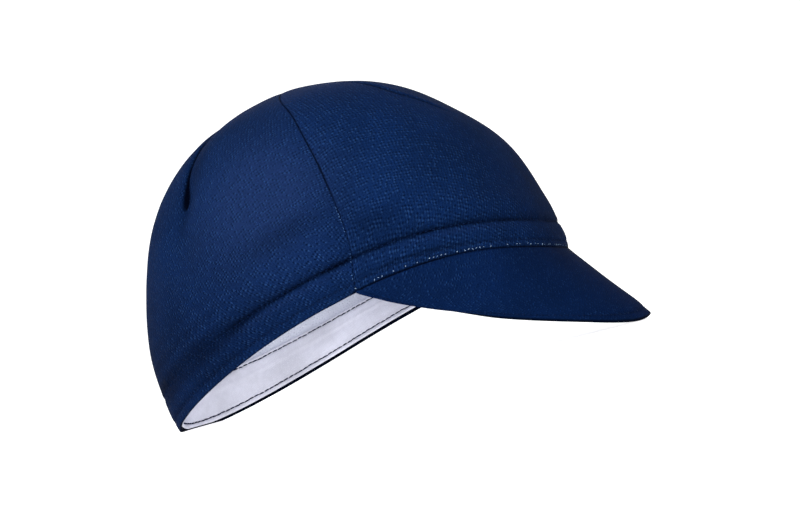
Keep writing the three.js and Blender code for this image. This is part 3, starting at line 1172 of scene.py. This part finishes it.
seam_up = np.linspace(*SEAM_STITCHES_UP, SEAM_LINE_STEPS)
beside_seam = seam_round(seam_up) + SEAM_STITCH_SHIFT
for side, name, seed in ((-1, "near_seam_stitches", 8), (1, "far_seam_stitches", 9)):
    stitch_line(name, crown_point(side * beside_seam, seam_up, SEAM_STITCH_DEPTH),
                crown_normal(side * seam_round(seam_up), seam_up), dusk_thread,
                pitch=1.3, share=0.45, radius=0.13, seed=seed, stray=0.16, across=0.12, keep=0.6)


# Floor with a softly rising back, in metres

CAMERA_YAW = -72.434 * deg
FLOOR_NEAR = -4.0
FLOOR_FAR = 1.6
SWEEP_RADIUS = 1.4
SWEEP_STEPS = 12
WALL_AWAY = 3.0
WALL_TOP = 5.0
FLOOR_SIDES = (-7, -3, 0, 3, 7)
FLOOR_GLOW = 0.84


def make_floor():
    away = np.array([-math.sin(CAMERA_YAW), math.cos(CAMERA_YAW)])
    left = np.array([-away[1], away[0]])
    profile = [(FLOOR_NEAR, 0.0), (FLOOR_FAR, 0.0)]
    for k in range(1, SWEEP_STEPS + 1):
        w = k / SWEEP_STEPS * 90 * deg
        profile.append((FLOOR_FAR + SWEEP_RADIUS * math.sin(w), SWEEP_RADIUS * (1 - math.cos(w))))
    profile.append((WALL_AWAY, WALL_TOP))
    points = np.array([[[*(away * d + left * s), z] for s in FLOOR_SIDES] for d, z in profile])
    material, tree, shader = node_tree("pale_floor")
    place = tree.nodes.new("ShaderNodeTexCoord")
    grain = noise(tree, place.outputs["Object"], scale=60.0, detail=3.0)
    tone = mix_colour(tree, grain, (0.62, 0.62, 0.625), (0.65, 0.65, 0.655))
    tree.links.new(tone, shader.inputs["Base Color"])
    shader.inputs["Roughness"].default_value = 0.9
    shader.inputs["Specular IOR Level"].default_value = 0.1
    shader.inputs["Emission Color"].default_value = (1.0, 1.0, 1.0, 1.0)
    shader.inputs["Emission Strength"].default_value = FLOOR_GLOW
    return make_mesh("floor", points, grid_faces(len(profile), len(FLOOR_SIDES), flip=True), None, material)


floor = make_floor()


# Studio light, in metres and watts

ROOM_GLOW = 0.43
CROWN_CENTRE = (0.0, 0.0, 0.07)
FAR_HEM_INSIDE = (0.03, 0.02, 0.012)
LOW_FILL_HEIGHT = 0.006

scene = bpy.context.scene
scene.view_settings.view_transform = "Standard"
scene.world = bpy.data.worlds.new("studio")
scene.world.use_nodes = True
background = scene.world.node_tree.nodes["Background"]
background.inputs["Color"].default_value = (1.0, 1.0, 1.0, 1.0)
background.inputs["Strength"].default_value = ROOM_GLOW


def area_light(name, place, target, size, power_watts):
    data = bpy.data.lights.new(name, "AREA")
    data.shape = "DISK"
    data.size = size
    data.energy = power_watts
    lamp = add_object(name, data)
    lamp.location = place
    lamp.rotation_mode = "QUATERNION"
    lamp.rotation_quaternion = (Vector(place) - Vector(target)).to_track_quat("Z", "Y")
    return lamp


area_light("key", (-0.66, 0.04, 0.50), CROWN_CENTRE, size=0.4, power_watts=9.5)
area_light("far_fill", (0.80, 0.30, 0.45), CROWN_CENTRE, size=0.6, power_watts=2.8)
low_fill = area_light("low_fill", (-0.49, -0.15, 0.0035), FAR_HEM_INSIDE, size=0.36, power_watts=1.5)
low_fill.data.shape = "RECTANGLE"
low_fill.data.size_y = LOW_FILL_HEIGHT


# Camera, placed beside the level shape and then leaned with it; lengths in mm

CAMERA_UP = -8.072 * deg
CAMERA_ROLL = -20.318 * deg
CAMERA_DISTANCE = 470.0
CAMERA_TARGET = np.array([0, -20, 45.0])
PIXELS_PER_MM = 2.254
TARGET_X = 414.184
TARGET_Y = 237.126
PICTURE_WIDTH = 800
PICTURE_HEIGHT = 516
SENSOR_WIDTH = 36.0


def make_camera():
    back = np.array([math.sin(CAMERA_YAW) * math.cos(CAMERA_UP),
                     -math.cos(CAMERA_YAW) * math.cos(CAMERA_UP),
                     math.sin(CAMERA_UP)])
    right = np.array([math.cos(CAMERA_YAW), math.sin(CAMERA_YAW), 0])
    above = np.cross(back, right)
    rolled_right = right * math.cos(CAMERA_ROLL) + above * math.sin(CAMERA_ROLL)
    rolled_above = above * math.cos(CAMERA_ROLL) - right * math.sin(CAMERA_ROLL)
    place = stand(CAMERA_TARGET + back * CAMERA_DISTANCE)
    axes = turned(np.array([rolled_right, rolled_above, back]))
    matrix = np.eye(4)
    matrix[:3, :3] = axes.T
    matrix[:3, 3] = place
    data = bpy.data.cameras.new("camera")
    data.sensor_width = SENSOR_WIDTH
    data.lens = PIXELS_PER_MM * CAMERA_DISTANCE * SENSOR_WIDTH / PICTURE_WIDTH
    data.shift_x = (PICTURE_WIDTH / 2 - TARGET_X) / PICTURE_WIDTH
    data.shift_y = (TARGET_Y - PICTURE_HEIGHT / 2) / PICTURE_WIDTH
    data.clip_start = 0.005
    data.clip_end = 50
    camera = add_object("camera", data)
    camera.matrix_world = Matrix(matrix.tolist())
    return camera


scene.camera = make_camera()
